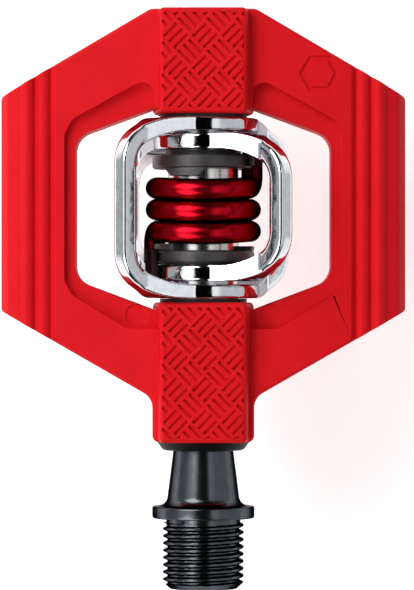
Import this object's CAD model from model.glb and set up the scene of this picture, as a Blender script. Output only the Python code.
import math

import bmesh
import bpy
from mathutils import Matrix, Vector


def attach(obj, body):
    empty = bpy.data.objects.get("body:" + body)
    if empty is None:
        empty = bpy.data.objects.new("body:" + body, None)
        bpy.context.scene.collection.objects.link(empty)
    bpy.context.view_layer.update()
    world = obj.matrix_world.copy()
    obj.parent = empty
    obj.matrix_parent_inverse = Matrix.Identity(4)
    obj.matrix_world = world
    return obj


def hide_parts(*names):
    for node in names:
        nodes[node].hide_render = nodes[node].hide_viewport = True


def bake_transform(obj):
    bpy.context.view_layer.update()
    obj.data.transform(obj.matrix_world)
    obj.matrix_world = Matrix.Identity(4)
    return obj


# Looks of the clipless pedal. Lengths are written in millimetres and scaled by MM.
# X is across the platform, Y runs along the spindle outward, Z is up.

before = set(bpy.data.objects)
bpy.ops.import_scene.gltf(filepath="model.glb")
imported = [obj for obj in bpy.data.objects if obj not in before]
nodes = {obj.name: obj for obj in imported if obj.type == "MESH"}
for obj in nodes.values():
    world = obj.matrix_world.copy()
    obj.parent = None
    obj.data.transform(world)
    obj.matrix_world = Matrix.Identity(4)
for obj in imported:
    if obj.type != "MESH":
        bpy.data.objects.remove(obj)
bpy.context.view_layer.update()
scene = bpy.context.scene

MM = 0.001
TURN = 2 * math.pi
SPRING_MIDDLE = 54.65
FLAT_ANGLE = math.radians(0.05)
BADGE_PLACE = (20.3, 78.0)
BADGE_REACH = 4.2
WELD = 0.0005
SEGMENTS = 96


# ---------------------------------------------------------------- mesh helpers


def link(name, mesh):
    """New object for a mesh, in the scene."""
    piece = bpy.data.objects.new(name, mesh)
    scene.collection.objects.link(piece)
    return piece


def cad_copy(node, name):
    """Welded copy of a CAD node's mesh, with even triangles on its flat faces."""
    mesh = bpy.data.meshes.new(name)
    work = bmesh.new()
    work.from_mesh(nodes[node].data)
    bmesh.ops.remove_doubles(work, verts=work.verts, dist=WELD * MM)
    flat = [edge for edge in work.edges if edge.is_manifold and edge.calc_face_angle() < FLAT_ANGLE]
    bmesh.ops.beautify_fill(work, faces=work.faces, edges=flat, method="ANGLE")
    work.to_mesh(mesh)
    work.free()
    return link(name, mesh)


def bake(piece):
    """Turn a piece's modifiers into its final mesh."""
    graph = bpy.context.evaluated_depsgraph_get()
    final = bpy.data.meshes.new_from_object(piece.evaluated_get(graph))
    final.name = piece.name
    piece.modifiers.clear()
    piece.data = final


def smooth_shading(piece, sharp_angle=None):
    """Smooth shading, with edges over the angle in degrees kept sharp."""
    mesh = piece.data
    mesh.polygons.foreach_set("use_smooth", [True] * len(mesh.polygons))
    if sharp_angle is not None:
        mesh.set_sharp_from_angle(angle=math.radians(sharp_angle))
    mesh.update()


def near_badge(edge):
    """Whether an edge is part of the shallow badge line, which is too fine to round off."""
    x, y = BADGE_PLACE
    middle = (edge.verts[0].co + edge.verts[1].co) / (2 * MM)
    return middle.z > 0 and math.hypot(middle.x - x, middle.y - y) < BADGE_REACH


def choose_edges(piece, angle):
    """Weigh the hard edges over the angle for rounding, and keep the badge line sharp."""
    work = bmesh.new()
    work.from_mesh(piece.data)
    weight = work.edges.layers.float.new("bevel_weight_edge")
    for edge in work.edges:
        if edge.is_manifold and edge.calc_face_angle() > math.radians(angle):
            if near_badge(edge):
                edge.smooth = False
            else:
                edge[weight] = 1.0
    work.to_mesh(piece.data)
    work.free()


def soften(piece, width, segments=2, angle=34):
    """Round off a piece's hard edges by a width in millimetres, with its flat faces left flat."""
    smooth_shading(piece)
    choose_edges(piece, angle)
    bevel = piece.modifiers.new("edges", "BEVEL")
    bevel.width = width * MM
    bevel.segments = segments
    bevel.limit_method = "WEIGHT"
    bevel.use_clamp_overlap = False
    bevel.miter_outer = "MITER_ARC"
    level = piece.modifiers.new("level", "WEIGHTED_NORMAL")
    level.mode = "FACE_AREA"
    level.weight = 100
    level.keep_sharp = True


def fine_remesh(piece, voxel, smoothing):
    """Rebuild a piece as even small quads and relax them, so that every edge is soft."""
    remesh = piece.modifiers.new("even", "REMESH")
    remesh.mode = "VOXEL"
    remesh.voxel_size = voxel * MM
    remesh.use_smooth_shade = True
    relax = piece.modifiers.new("relax", "SMOOTH")
    relax.factor = 0.5
    relax.iterations = smoothing
    bake(piece)
    smooth_shading(piece)
    return piece


def finish_piece(piece, body, slot, material, *replaced):
    """Give a piece its material, its body, its record slot and the nodes that it stands for."""
    piece.data.materials.clear()
    piece.data.materials.append(material)
    if body:
        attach(piece, body)
    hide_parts(*replaced)


def rounded_profile(points):
    """(y, radius) profile from (y, radius, corner) points, with corners rounded by their reach."""
    out = []
    for n, (y, r, corner) in enumerate(points):
        here = Vector((y, r))
        if corner == 0 or n in (0, len(points) - 1):
            out.append((y, r))
            continue
        back = Vector(points[n - 1][:2]) - here
        ahead = Vector(points[n + 1][:2]) - here
        reach = min(corner, back.length * 0.49, ahead.length * 0.49)
        first = here + back.normalized() * reach
        last = here + ahead.normalized() * reach
        steps = 4
        for step in range(steps + 1):
            t = step / steps
            spot = first * (1 - t) ** 2 + here * 2 * t * (1 - t) + last * t * t
            out.append((spot.x, spot.y))
    return out


def grid_mesh(name, rings, closed_ends=True):
    """Tube mesh through rings of points given in millimetres. Each ring has the same number of points."""
    count = len(rings[0])
    vertices = [tuple(c * MM for c in point) for ring in rings for point in ring]
    faces = []
    last = len(rings) - 1
    for n in range(last):
        near = n * count
        far = near + count
        for k in range(count):
            j = (k + 1) % count
            faces.append((near + k, near + j, far + j, far + k))
    if closed_ends:
        faces.append(tuple(reversed(range(count))))
        faces.append(tuple(last * count + k for k in range(count)))
    mesh = bpy.data.meshes.new(name)
    mesh.from_pydata(vertices, [], faces)
    mesh.validate()
    mesh.update()
    return mesh


def spin_ring(y, radii):
    """Ring of points about the spindle axis, one radius per point."""
    count = len(radii)
    ring = []
    for k, radius in enumerate(radii):
        angle = TURN * k / count
        ring.append((radius * math.cos(angle), y, radius * math.sin(angle)))
    return ring


def lathe(name, points):
    """Closed ring-shaped piece turned about the spindle axis from (y, radius, corner) points."""
    profile = rounded_profile(points)
    rings = [spin_ring(y, [radius] * SEGMENTS) for y, radius in profile]
    rings.append(rings[0])
    mesh = grid_mesh(name, rings, closed_ends=False)
    work = bmesh.new()
    work.from_mesh(mesh)
    bmesh.ops.remove_doubles(work, verts=work.verts, dist=WELD * MM)
    bmesh.ops.recalc_face_normals(work, faces=work.faces)
    work.to_mesh(mesh)
    work.free()
    return link(name, mesh)


# ---------------------------------------------------------------- material helpers


class Paint:
    """A principled material with a few chained texture nodes."""

    def __init__(self, name):
        self.material = bpy.data.materials.new(name)
        self.material.use_nodes = True
        self.tree = self.material.node_tree
        self.shader = self.tree.nodes["Principled BSDF"]
        self.place = self.tree.nodes.new("ShaderNodeTexCoord").outputs["Object"]
        self.height = None

    def put(self, **values):
        """Set plain shader sockets, with underscores for spaces."""
        for name, value in values.items():
            self.shader.inputs[name.replace("_", " ")].default_value = value

    def node(self, kind, **inputs):
        """New shader node with its named sockets fed."""
        made = self.tree.nodes.new(kind)
        for name, value in inputs.items():
            self.feed(made.inputs[name.replace("_", " ")], value)
        return made

    def feed(self, socket, value):
        """Link a socket to another, or give it a plain value."""
        if isinstance(value, bpy.types.NodeSocket):
            self.tree.links.new(value, socket)
        else:
            socket.default_value = value

    def noise(self, size, detail=2.0, roughness=0.5, distortion=0.0, place=None):
        """Noise with features of about the given size in millimetres."""
        made = self.node(
            "ShaderNodeTexNoise",
            Vector=place or self.place,
            Scale=1 / (size * MM),
            Detail=detail,
            Roughness=roughness,
            Distortion=distortion,
        )
        return made.outputs["Fac"]

    def spread(self, fac, low, high, from_low=0.3, from_high=0.7):
        """A factor stretched to a range of numbers."""
        made = self.node(
            "ShaderNodeMapRange",
            Value=fac,
            From_Min=from_low,
            From_Max=from_high,
            To_Min=low,
            To_Max=high,
        )
        return made.outputs["Result"]

    def mix(self, fac, first, second):
        """A colour between two, by a factor."""
        made = self.tree.nodes.new("ShaderNodeMix")
        made.data_type = "RGBA"
        self.feed(made.inputs["Factor"], fac)
        for socket, value in zip((made.inputs[6], made.inputs[7]), (first, second)):
            if isinstance(value, tuple):
                value = (*value, 1.0)
            self.feed(socket, value)
        return made.outputs[2]

    def math(self, operation, *values):
        """Result of a sum on sockets or numbers."""
        made = self.tree.nodes.new("ShaderNodeMath")
        made.operation = operation
        for socket, value in zip(made.inputs, values):
            self.feed(socket, value)
        return made.outputs["Value"]

    def stretched(self, x, y, z):
        """Object coordinates scaled along each axis."""
        made = self.tree.nodes.new("ShaderNodeMapping")
        self.feed(made.inputs["Vector"], self.place)
        made.inputs["Scale"].default_value = (x, y, z)
        return made.outputs["Vector"]

    def measure(self, kind, low, high):
        """Share from 0 to 1 as a distance in millimetres passes from low to high.

        The distance is from the spindle's axis (radius), from its vertical plane (side),
        or along it from the spring's middle (along)."""
        split = self.node("ShaderNodeSeparateXYZ", Vector=self.place)
        x, y, z = split.outputs
        if kind == "radius":
            square = self.math("ADD", self.math("MULTIPLY", x, x), self.math("MULTIPLY", z, z))
            distance = self.math("SQRT", square)
        elif kind == "side":
            distance = self.math("ABSOLUTE", x)
        else:
            distance = self.math("ABSOLUTE", self.math("SUBTRACT", y, SPRING_MIDDLE * MM))
        return self.spread(distance, 0.0, 1.0, low * MM, high * MM)

    def colour(self, value):
        """Set the base colour."""
        if isinstance(value, tuple):
            value = (*value, 1.0)
        self.feed(self.shader.inputs["Base Color"], value)

    def rough(self, value):
        """Set the roughness."""
        self.feed(self.shader.inputs["Roughness"], value)

    def bump(self, fac, depth):
        """Add relief of a depth in millimetres."""
        made = self.tree.nodes.new("ShaderNodeBump")
        made.inputs["Strength"].default_value = 1.0
        made.inputs["Distance"].default_value = depth * MM
        self.feed(made.inputs["Height"], fac)
        if self.height is not None:
            self.feed(made.inputs["Normal"], self.height)
        self.height = made.outputs["Normal"]
        self.feed(self.shader.inputs["Normal"], self.height)


# ---------------------------------------------------------------- materials


def red_composite():
    """Moulded, glass-filled composite: satin, with a fine grain and faint flow marks."""
    paint = Paint("red_composite")
    flow = paint.noise(6.0, detail=3.0, distortion=0.6)
    grain = paint.noise(0.16, detail=2.0)
    base = paint.mix(paint.spread(flow, 0.0, 1.0), (0.70, 0.0062, 0.0115), (0.76, 0.0078, 0.0140))
    speckled = paint.mix(paint.spread(grain, 0.0, 0.35), base, (0.60, 0.0045, 0.009))
    paint.colour(speckled)
    paint.rough(paint.spread(paint.noise(0.5, detail=4.0), 0.48, 0.62))
    paint.bump(grain, 0.012)
    paint.bump(paint.noise(1.4, detail=2.0), 0.02)
    paint.put(Specular_IOR_Level=0.10)
    return paint.material


def polished_chrome(name, inner_face):
    """Bright plating over a cast and polished bar, left dark on the finger inside the strips."""
    paint = Paint(name)
    haze = paint.noise(1.2, detail=3.0)
    bright = paint.mix(paint.spread(haze, 0.0, 1.0), (0.74, 0.75, 0.78), (0.84, 0.85, 0.87))
    near = paint.math("SUBTRACT", 1.0, paint.measure("radius", 11.2, 11.8))
    inside = paint.math("SUBTRACT", 1.0, paint.measure("along", inner_face - 0.3, inner_face))
    finger = paint.math("MULTIPLY", near, inside)
    paint.colour(paint.mix(finger, bright, (0.045, 0.030, 0.031)))
    fine = paint.spread(paint.noise(0.35, detail=4.0), 0.05, 0.11)
    paint.rough(paint.math("ADD", fine, paint.math("MULTIPLY", finger, 0.3)))
    paint.bump(paint.noise(2.6, detail=1.0), 0.03)
    paint.bump(paint.noise(0.5, detail=1.0), 0.0008)
    paint.put(Metallic=1.0, Specular_Tint=(0.30, 0.31, 0.34, 1.0))
    return paint.material


def candy_red():
    """Red lacquer over bright spring steel, darker on the flanks and between the coils."""
    paint = Paint("candy_red")
    drift = paint.noise(1.5, detail=3.0)
    base = paint.mix(paint.spread(drift, 0.0, 1.0), (0.46, 0.0040, 0.012), (0.60, 0.0060, 0.018))
    flank = paint.measure("side", 4.8, 9.8)
    crevice = paint.math("SUBTRACT", 1.0, paint.measure("radius", 8.9, 9.9))
    dark = paint.math("MAXIMUM", flank, crevice)
    paint.colour(paint.mix(dark, base, (0.018, 0.0006, 0.0010)))
    paint.rough(paint.spread(paint.noise(1.0, detail=3.0), 0.24, 0.32))
    paint.bump(paint.noise(1.2, detail=1.0), 0.003)
    paint.put(Metallic=1.0, Specular_Tint=(0.10, 0.0, 0.0, 1.0))
    return paint.material


def collar_metal():
    """Dark grey with a fine grain and a slight metallic sheen."""
    paint = Paint("collar_metal")
    grain = paint.noise(0.14, detail=3.0)
    blotch = paint.noise(2.2, detail=3.0)
    base = paint.mix(paint.spread(blotch, 0.0, 1.0), (0.050, 0.046, 0.047), (0.085, 0.078, 0.080))
    paint.colour(paint.mix(paint.spread(grain, 0.0, 0.5), base, (0.13, 0.122, 0.124)))
    paint.rough(paint.spread(blotch, 0.36, 0.50))
    paint.bump(grain, 0.02)
    paint.put(Metallic=0.75)
    return paint.material


def turned_steel(name, light, dark, low, high, ring_pitch=0.11):
    """Steel with fine rings left by turning."""
    paint = Paint(name)
    wave = paint.node("ShaderNodeTexWave", Vector=paint.place, Scale=1 / (ring_pitch * MM) / 20)
    wave.wave_type = "BANDS"
    wave.bands_direction = "Y"
    paint.feed(wave.inputs["Distortion"], 1.5)
    paint.feed(wave.inputs["Detail"], 2.0)
    streak = paint.noise(0.5, detail=3.0, place=paint.stretched(0.15, 4.0, 0.15))
    paint.colour(paint.mix(paint.spread(streak, 0.0, 1.0), dark, light))
    paint.rough(paint.spread(streak, low, high))
    paint.bump(wave.outputs["Fac"], 0.004)
    paint.bump(streak, 0.004)
    paint.put(Metallic=1.0)
    return paint.material


def spindle_black():
    """Black-finished forged steel, glossy and dark at its edges."""
    paint = Paint("spindle_black")
    cloud = paint.noise(1.8, detail=4.0)
    grain = paint.noise(0.12, detail=2.0)
    paint.colour(paint.mix(paint.spread(cloud, 0.0, 1.0), (0.085, 0.091, 0.100), (0.110, 0.117, 0.128)))
    paint.rough(paint.spread(grain, 0.17, 0.25))
    paint.bump(grain, 0.002)
    paint.bump(paint.noise(0.5, detail=3.0, place=paint.stretched(0.2, 3.0, 0.2)), 0.0015)
    paint.put(Metallic=1.0, Specular_Tint=(0.0, 0.0, 0.0, 1.0))
    return paint.material


def plain_plastic(name, dark, light, low, high, grain_size=0.2, depth=0.01, specular=0.45):
    """Moulded plastic or rubber with a fine grain."""
    paint = Paint(name)
    grain = paint.noise(grain_size, detail=3.0)
    cloud = paint.noise(2.5, detail=3.0)
    paint.colour(paint.mix(paint.spread(cloud, 0.0, 1.0), dark, light))
    paint.rough(paint.spread(grain, low, high))
    paint.bump(grain, depth)
    paint.put(Specular_IOR_Level=specular)
    return paint.material


def metal(name, dark, light, low, high, grain_size=0.3, depth=0.006):
    """Plain machined or rolled metal."""
    paint = Paint(name)
    cloud = paint.noise(1.2, detail=4.0)
    grain = paint.noise(grain_size, detail=3.0)
    paint.colour(paint.mix(paint.spread(cloud, 0.0, 1.0), dark, light))
    paint.rough(paint.spread(grain, low, high))
    paint.bump(grain, depth)
    paint.put(Metallic=1.0)
    return paint.material


def floor_paper():
    """Near-white backdrop paper, faintly lit from within so that shadows stay pale."""
    paint = Paint("floor_paper")
    fibre = paint.noise(3.0, detail=4.0)
    paint.colour(paint.mix(paint.spread(fibre, 0.0, 1.0), (0.80, 0.80, 0.80), (0.84, 0.84, 0.84)))
    paint.rough(0.9)
    paint.put(Specular_IOR_Level=0.0, Emission_Color=(1, 1, 1, 1), Emission_Strength=0.56)
    return paint.material


RED = red_composite()
OUTER_CHROME = polished_chrome("outer_wing_chrome", 13.25)
INNER_CHROME = polished_chrome("inner_wing_chrome", 10.1)
CANDY = candy_red()
COLLAR = collar_metal()
SLEEVE = turned_steel("sleeve_steel", (0.82, 0.80, 0.78), (0.60, 0.58, 0.56), 0.16, 0.26)
SPINDLE = spindle_black()
RACE = turned_steel("bearing_steel", (0.78, 0.78, 0.79), (0.62, 0.62, 0.63), 0.10, 0.20)
BALL = metal("ball_steel", (0.80, 0.80, 0.82), (0.90, 0.90, 0.92), 0.04, 0.08, 0.2, 0.001)
BRASS = metal("cage_brass", (0.62, 0.42, 0.16), (0.74, 0.52, 0.22), 0.25, 0.38)
NUT = metal("nut_steel", (0.46, 0.46, 0.47), (0.58, 0.58, 0.59), 0.28, 0.42)
WASHER = metal("washer_steel", (0.60, 0.60, 0.61), (0.72, 0.72, 0.73), 0.22, 0.34)
RUBBER_DARK = (0.0030, 0.0030, 0.0034)
RUBBER_LIGHT = (0.0065, 0.0065, 0.0070)
RUBBER = plain_plastic("seal_rubber", RUBBER_DARK, RUBBER_LIGHT, 0.40, 0.52, 0.15, 0.004, 0.10)
NYLON = plain_plastic("bushing_plastic", (0.50, 0.48, 0.42), (0.60, 0.58, 0.52), 0.40, 0.52)
CAP = plain_plastic("cap_black", (0.012, 0.012, 0.013), (0.022, 0.022, 0.024), 0.36, 0.50, 0.18, 0.014)
THRUST = plain_plastic("thrust_plastic", (0.030, 0.028, 0.028), (0.050, 0.047, 0.046), 0.40, 0.52)


# ---------------------------------------------------------------- platform


PLATFORM_EDGE = 0.09


def platform():
    """Moulded body with every edge broken."""
    piece = cad_copy("platform", "platform_body")
    soften(piece, PLATFORM_EDGE)
    bake(piece)
    finish_piece(piece, "platform_set", "body_red", RED, "platform")


# ---------------------------------------------------------------- spindle


THREAD_PITCH = 1.27
THREAD_TOP = 7.125
THREAD_ROOT = 6.36
THREAD_FLOOR_SHARE = 0.14
THREAD_FLANK_SHARE = 0.62
THREAD_ROUNDNESS = 0.35
THREAD_TO = -1.1
THREAD_STOP = -0.8
THREAD_STEP = 0.085
THREAD_RUN_OUT = 0.8
LEAD_IN = 1.1
TIP_Y = -12.44
TIP_SHIFT = 0.04
TIP_RADIUS = 5.95
TIP_FACE_RADIUS = 5.6
NECK_START = -0.76
NECK_RADIUS = 6.55
RELIEF_DEPTH = 0.25
RELIEF_RADIUS = 7.35
FLANGE_RADIUS = 9.03
FLANGE_END = 2.08
FLARE_LENGTH = 1.82
FLARE_RADIUS = 6.3
FLARE_SPREAD = 1.98
FLARE_STEP = 15
TAPER_END = 11.8
TAPER_RADIUS = 5.3
TAPER_STOP = 16.5
JOURNAL = (17.0, 35.5)
JOURNAL_RADIUS = 5.0
SHAFT = (38.0, 75.0)
SHAFT_RADIUS = 4.2
SEAT_RADIUS = 3.0
SPINDLE_END = 84.8
END_CHAMFER = 0.3
HEX_FLAT = 4.0
HEX_DEPTH = 9.0
HEX_POINT_DEPTH = 1.6
HEX_POINT_RADIUS = 0.02
HEX_LEAD = 0.3
HEX_LEAD_STEPS = 8


def spindle_profile():
    """Outer profile past the thread, as (y, radius, corner) points."""
    points = [
        (NECK_START, NECK_RADIUS, 0.2),
        (RELIEF_DEPTH, NECK_RADIUS, 0.15),
        (RELIEF_DEPTH, RELIEF_RADIUS, 0.08),
        (0.0, RELIEF_RADIUS, 0.08),
        (0.0, FLANGE_RADIUS, 0.35),
        (FLANGE_END, FLANGE_RADIUS, 0.35),
    ]
    for n in range(7):
        turn = math.radians(FLARE_STEP * n)
        y = FLANGE_END + FLARE_LENGTH * (1 - math.cos(turn))
        points.append((y, FLARE_RADIUS + FLARE_SPREAD * (1 - math.sin(turn)), 0.0))
    points += [
        (TAPER_END, TAPER_RADIUS, 0.4),
        (TAPER_STOP, TAPER_RADIUS, 0.2),
        (JOURNAL[0], JOURNAL_RADIUS, 0.2),
        (JOURNAL[1], JOURNAL_RADIUS, 0.3),
        (SHAFT[0], SHAFT_RADIUS, 0.3),
        (SHAFT[1], SHAFT_RADIUS, 0.1),
        (SHAFT[1], SEAT_RADIUS, 0.1),
        (SPINDLE_END - END_CHAMFER, SEAT_RADIUS, 0.1),
        (SPINDLE_END, SEAT_RADIUS - END_CHAMFER, 0.1),
    ]
    return rounded_profile(points)


def share(value):
    """A value held between 0 and 1."""
    return min(max(value, 0.0), 1.0)


def thread_radius(y, angle):
    """Radius of the helical thread at a place along the spindle and an angle about it."""
    phase = (y / THREAD_PITCH + angle / TURN) % 1.0
    flank = share((abs(phase - 0.5) * 2 - THREAD_FLOOR_SHARE) / THREAD_FLANK_SHARE)
    rounded = flank * flank * (3 - 2 * flank)
    profile = rounded * THREAD_ROUNDNESS + flank * (1 - THREAD_ROUNDNESS)
    full = THREAD_ROOT + (THREAD_TOP - THREAD_ROOT) * profile
    ceiling = TIP_RADIUS + (THREAD_TOP - TIP_RADIUS) * share((y - TIP_Y) / LEAD_IN)
    run_out = share((THREAD_TO - y) / THREAD_RUN_OUT)
    floor_radius = NECK_RADIUS + (THREAD_ROOT - NECK_RADIUS) * run_out
    if run_out < 1:
        full = max(full, floor_radius)
    return min(full, ceiling)


def hex_radius(angle):
    """Distance from the axis to the hexagonal socket's wall."""
    sixth = TURN / 6
    turn = (angle + sixth / 2) % sixth - sixth / 2
    flat_turn = sixth / 2 - abs(turn)
    return HEX_FLAT / math.cos(flat_turn)


def spindle():
    """Forged spindle with a helical crank thread and a hexagonal socket."""
    angles = [TURN * k / SEGMENTS for k in range(SEGMENTS)]
    socket_floor = TIP_Y + HEX_DEPTH
    rings = [spin_ring(socket_floor + HEX_POINT_DEPTH, [HEX_POINT_RADIUS] * SEGMENTS)]
    rings.append(spin_ring(socket_floor, [hex_radius(a) for a in angles]))
    for n in range(HEX_LEAD_STEPS, -1, -1):
        depth = n / HEX_LEAD_STEPS
        cone = HEX_FLAT / math.cos(math.radians(30)) + HEX_LEAD - depth
        rings.append(spin_ring(TIP_Y + depth, [max(hex_radius(a), cone) for a in angles]))
    rings.append(spin_ring(TIP_Y, [TIP_FACE_RADIUS] * SEGMENTS))
    count = int((NECK_START - TIP_Y) / THREAD_STEP)
    for n in range(count + 1):
        y = TIP_Y + TIP_SHIFT + THREAD_STEP * n
        if y < THREAD_STOP:
            rings.append(spin_ring(y, [thread_radius(y, a) for a in angles]))
    for y, radius in spindle_profile():
        rings.append(spin_ring(y, [radius] * SEGMENTS))
    piece = link("spindle_forged", grid_mesh("spindle_forged", rings))
    smooth_shading(piece, 38)
    finish_piece(piece, "spindle_set", "spindle_black", SPINDLE, "spindle")


# ---------------------------------------------------------------- wings, collars and seals


WING_GRID = 0.15
WING_RELAX_STEPS = 20
COLLAR_EDGE = 0.10


def wings():
    """The two chromed wing pairs, with their edges rounded and flowing together."""
    for name, node, body, chrome in (
        ("wing_outer_polished", "wing_outer", "outer_wing_set", OUTER_CHROME),
        ("wing_inner_polished", "wing_inner", "inner_wing_set", INNER_CHROME),
    ):
        piece = fine_remesh(cad_copy(node, name), WING_GRID, WING_RELAX_STEPS)
        finish_piece(piece, body, "wing_chrome", chrome, node)


def collars():
    """The two slotted collars beside the spring."""
    for name, node in (
        ("collar_outboard_cast", "collar_outboard"),
        ("collar_inboard_cast", "collar_inboard"),
    ):
        piece = cad_copy(node, name)
        soften(piece, COLLAR_EDGE)
        bake(piece)
        finish_piece(piece, "platform_set", "collar_grey", COLLAR, node)


def dust_seal():
    """Tapered rubber seal at the platform's inboard end."""
    points = [
        (15.2, 5.37, 0.1),
        (11.95, 5.37, 0.12),
        (11.95, 6.9, 0.25),
        (12.25, 7.33, 0.3),
        (13.0, 7.85, 0.3),
        (13.5, 8.2, 0.15),
        (13.54, 7.34, 0.1),
        (15.9, 7.34, 0.1),
        (15.9, 6.4, 0.1),
        (15.2, 6.1, 0.1),
    ]
    piece = lathe("dust_seal_rubber", points)
    smooth_shading(piece, 50)
    finish_piece(piece, "platform_set", "seal_rubber", RUBBER, "dust_seal")


# ---------------------------------------------------------------- spring


WIRE = 1.9
COIL = 8.3
FRONTS = (58.15, 54.35, 50.55)
SAG = 0.5
LEG_BEND = 2.2
LEG_TOP = 64.2
LEG_BOTTOM = 45.0
TIP_CHAMFER = 0.25
WIRE_SEGMENTS = 28


def coil_points():
    """Centre line of the spring from the outboard leg's tip to the inboard leg's tip."""
    lean = math.asin(LEG_BEND / COIL)
    points = []

    def coil(y, angle):
        points.append(Vector((COIL * math.cos(angle), y, COIL * math.sin(angle))))

    def front(y, start, end):
        steps = int(round(math.degrees(end - start) / 3))
        for n in range(steps):
            angle = start + (end - start) * n / steps
            coil(y - SAG * math.sin(angle) ** 2, angle)

    def back(start_y, end_y):
        steps = 60
        for n in range(steps):
            turn = math.pi * n / steps
            coil((start_y + end_y) / 2 + (start_y - end_y) / 2 * math.cos(turn), math.pi + turn)

    def leg(y, tip, side):
        """Points from the leg's tip to the coil's start."""
        rise = 1 if tip > y else -1
        start = Vector((COIL * math.cos(lean), y, COIL * math.sin(lean)))
        along = Vector((math.sin(lean), 0, -math.cos(lean)))
        root_y = y + rise * LEG_BEND
        root = start + along * LEG_BEND
        made = []
        steps = 8
        for n in range(steps):
            made.append(Vector((root.x, tip + (root_y - tip) * n / steps, root.z)))
        bend_steps = 12
        for n in range(bend_steps):
            turn = math.pi / 2 * (1 - n / bend_steps)
            spot = start + along * LEG_BEND * math.sin(turn)
            spot.y = y + rise * LEG_BEND * (1 - math.cos(turn))
            made.append(spot)
        return [Vector((side * p.x, p.y, p.z)) for p in made]

    first, middle, last = FRONTS
    sag_at_leg = SAG * math.sin(lean) ** 2
    points += leg(first - sag_at_leg, LEG_TOP, 1)
    front(first, lean, math.pi)
    back(first, middle)
    front(middle, 0, math.pi)
    back(middle, last)
    front(last, 0, math.pi - lean)
    points += reversed(leg(last - sag_at_leg, LEG_BOTTOM, -1))
    return points


def wire_rings(points, count):
    """Tangent and outward directions round a line at each point, carried along without twisting."""
    tangents = []
    for n in range(len(points)):
        before = points[max(n - 1, 0)]
        after = points[min(n + 1, len(points) - 1)]
        tangents.append((after - before).normalized())
    side = tangents[0].orthogonal().normalized()
    rings = []
    for tangent in tangents:
        side = (side - tangent * side.dot(tangent)).normalized()
        other = tangent.cross(side)
        outs = []
        for k in range(count):
            angle = TURN * k / count
            outs.append(side * math.cos(angle) + other * math.sin(angle))
        rings.append((tangent, outs))
    return rings


def spring_half(name, points, tip_first):
    """One half of the spring, which winds up towards its wing."""
    frames = wire_rings(points, WIRE_SEGMENTS)
    rings = []
    normals = []
    for point, (tangent, outs) in zip(points, frames):
        rings.append([tuple(point + out * WIRE) for out in outs])
        normals += outs
    tip_place = 0 if tip_first else -1
    tip = points[tip_place]
    tip_tangent, tip_outs = frames[tip_place]
    outward = tip_tangent * (-1 if tip_first else 1)
    cap = []
    cap_normals = []
    for shrink, lean in ((TIP_CHAMFER, 0.7), (WIRE * 0.5, 1.0)):
        cap.append([tuple(tip + outward * TIP_CHAMFER + out * (WIRE - shrink)) for out in tip_outs])
        cap_normals.append([(out * (1 - lean) + outward * lean).normalized() for out in tip_outs])
    if tip_first:
        rings = list(reversed(cap)) + rings
        normals = [out for ring in reversed(cap_normals) for out in ring] + normals
    else:
        rings = rings + cap
        normals = normals + [out for ring in cap_normals for out in ring]
    mesh = grid_mesh(name, rings)
    work = bmesh.new()
    work.from_mesh(mesh)
    bmesh.ops.recalc_face_normals(work, faces=work.faces)
    work.to_mesh(mesh)
    work.free()
    piece = link(name, mesh)
    smooth_shading(piece)
    mesh.normals_split_custom_set_from_vertices([tuple(n) for n in normals])
    finish_piece(piece, None, "spring_red", CANDY, "spring")
    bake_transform(piece)


def spring():
    """Spring in two halves, each following the wing that its leg pushes."""
    points = coil_points()
    middle = FRONTS[1] - SAG
    split = min(
        range(len(points)),
        key=lambda n: (points[n] - Vector((0, middle, COIL))).length,
    )
    outboard = points[: split + 1]
    inboard = points[split:]
    spring_half("spring_outboard_half", outboard, True)
    spring_half("spring_inboard_half", inboard, False)


# ---------------------------------------------------------------- nodes kept from the CAD


def kept_nodes():
    """CAD nodes whose shape is right as it is, with their materials."""
    looks = {
        "core_sleeve": SLEEVE,
        "bearing_inner_race": RACE,
        "bearing_outer_race": RACE,
        "bearing_balls": BALL,
        "bearing_cage": BRASS,
        "bearing_shields": WASHER,
        "spindle_washer": WASHER,
        "locknut": NUT,
        "bushing": NYLON,
        "inner_seal": RUBBER,
        "end_cap": CAP,
        "cap_oring": RUBBER,
        "shim_outboard": THRUST,
        "shim_inboard": THRUST,
        "thrust_washer_outboard": THRUST,
        "thrust_washer_inboard": THRUST,
    }
    for name, material in looks.items():
        node = nodes[name]
        node.data.materials.clear()
        node.data.materials.append(material)
        smooth_shading(node, 40)


# ---------------------------------------------------------------- studio


FLOOR_Z = -37.0
FLOOR_HALF_SIZE = 950.0
LIGHT_TARGET = (0, 45, 0)
LIGHT_SIZE = 300
KEY_PLACE = (-230, 290, 300)
KEY_POWER = 1.22
KICKER_PLACE = (-230, -200, 300)
KICKER_POWER = 0.72
SENSOR_WIDTH = 36.0
CAMERA_HEIGHT = 600.0
VIEW_X = 0.65
VIEW_Y = 39.3
VIEW_SPAN = 104.135
LEFT_SKY = 0.42
RIGHT_SKY = 0.60
LEFT_STRIP = 0.90
RIGHT_STRIP = 0.45
END_DARKNESS = 0.85


def floor():
    """Pale paper sweep under the pedal, low enough for the platform to turn over it."""
    mesh = bpy.data.meshes.new("floor")
    work = bmesh.new()
    bmesh.ops.create_grid(work, x_segments=8, y_segments=8, size=FLOOR_HALF_SIZE * MM)
    bmesh.ops.translate(work, verts=work.verts, vec=(0, 0, FLOOR_Z * MM))
    work.to_mesh(mesh)
    work.free()
    sheet = link("floor", mesh)
    mesh.materials.append(floor_paper())


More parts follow.
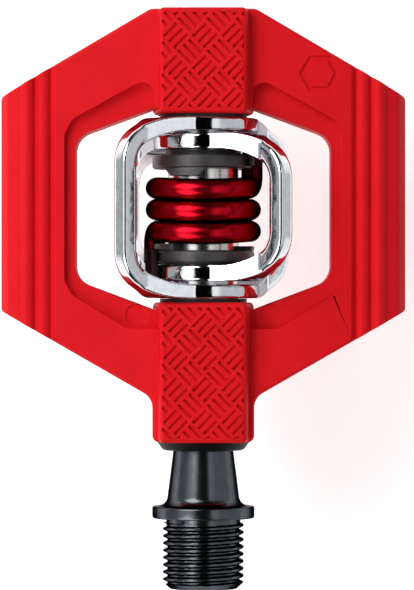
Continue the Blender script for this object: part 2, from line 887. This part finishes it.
def softbox(name, place, power):
    """Square studio light aimed at the pedal."""
    light = bpy.data.lights.new(name, "AREA")
    light.shape = "RECTANGLE"
    light.size = LIGHT_SIZE * MM
    light.size_y = LIGHT_SIZE * MM
    light.energy = power
    lamp = bpy.data.objects.new(name, light)
    lamp.location = Vector(place) * MM
    aim = (Vector(LIGHT_TARGET) - Vector(place)).normalized()
    lamp.rotation_mode = "QUATERNION"
    lamp.rotation_quaternion = aim.to_track_quat("-Z", "Y")
    scene.collection.objects.link(lamp)


def sky():
    """Soft studio surround, with a dark gap overhead and darker towards both ends of the spindle."""
    world = bpy.data.worlds.new("studio")
    scene.world = world
    world.use_nodes = True
    tree = world.node_tree
    background = tree.nodes["Background"]
    place = tree.nodes.new("ShaderNodeTexCoord").outputs["Generated"]
    split = tree.nodes.new("ShaderNodeSeparateXYZ")
    tree.links.new(place, split.inputs["Vector"])

    def fade(socket, low, high, start, end):
        """Smooth change from start to end as a socket passes from low to high."""
        made = tree.nodes.new("ShaderNodeMapRange")
        made.interpolation_type = "SMOOTHSTEP"
        tree.links.new(socket, made.inputs["Value"])
        made.inputs["From Min"].default_value = low
        made.inputs["From Max"].default_value = high
        made.inputs["To Min"].default_value = start
        made.inputs["To Max"].default_value = end
        return made.outputs["Result"]

    def combine(operation, *sockets):
        """Result of a sum on one or two sockets."""
        made = tree.nodes.new("ShaderNodeMath")
        made.operation = operation
        for place, socket in zip(made.inputs, sockets):
            tree.links.new(socket, place)
        return made.outputs["Value"]

    def multiply(a, b):
        """Product of two sockets."""
        return combine("MULTIPLY", a, b)

    def rest(part):
        """What is left of 1 after a part."""
        made = tree.nodes.new("ShaderNodeMath")
        made.operation = "SUBTRACT"
        made.inputs[0].default_value = 1.0
        tree.links.new(part, made.inputs[1])
        return made.outputs["Value"]

    x, y, z = split.outputs["X"], split.outputs["Y"], split.outputs["Z"]
    base = fade(x, -0.9, 0.9, LEFT_SKY, RIGHT_SKY)
    right = multiply(fade(x, 0.22, 0.32, 0.0, RIGHT_STRIP), fade(x, 0.45, 0.65, 1.0, 0.0))
    left = multiply(fade(x, -0.90, -0.70, 0.0, LEFT_STRIP), fade(x, -0.40, -0.30, 1.0, 0.0))
    strips = multiply(combine("ADD", left, right), fade(z, 0.3, 0.5, 0.0, 1.0))
    above = fade(z, 0.0, 0.2, 0.0, 1.0)
    gap = multiply(fade(x, -0.40, -0.30, 0.0, 1.0), fade(x, 0.27, 0.33, 1.0, 0.0))
    gap = multiply(gap, above)
    ends = fade(combine("ABSOLUTE", y), 0.40, 0.70, 0.0, END_DARKNESS)
    ends = multiply(ends, fade(z, 0.05, 0.2, 0.0, 1.0))
    brightness = combine("ADD", base, strips)
    brightness = multiply(brightness, rest(gap))
    brightness = multiply(brightness, rest(ends))
    tree.links.new(brightness, background.inputs["Strength"])
    background.inputs["Color"].default_value = (0.95, 0.975, 1.0, 1.0)


def camera():
    """Camera straight above the platform's face, as the catalogue view has it."""
    data = bpy.data.cameras.new("camera")
    data.sensor_width = SENSOR_WIDTH
    data.lens = SENSOR_WIDTH * CAMERA_HEIGHT / VIEW_SPAN
    data.clip_start = 0.01
    data.clip_end = 10.0
    view = bpy.data.objects.new("camera", data)
    view.location = Vector((VIEW_X, VIEW_Y, CAMERA_HEIGHT)) * MM
    scene.collection.objects.link(view)
    scene.camera = view


def studio():
    """Floor, lights, surround, camera and view settings."""
    floor()
    softbox("key", KEY_PLACE, KEY_POWER)
    softbox("kicker", KICKER_PLACE, KICKER_POWER)
    sky()
    camera()
    scene.view_settings.view_transform = "Standard"
    scene.view_settings.look = "None"


platform()
spindle()
wings()
collars()
dust_seal()
spring()
kept_nodes()
studio()
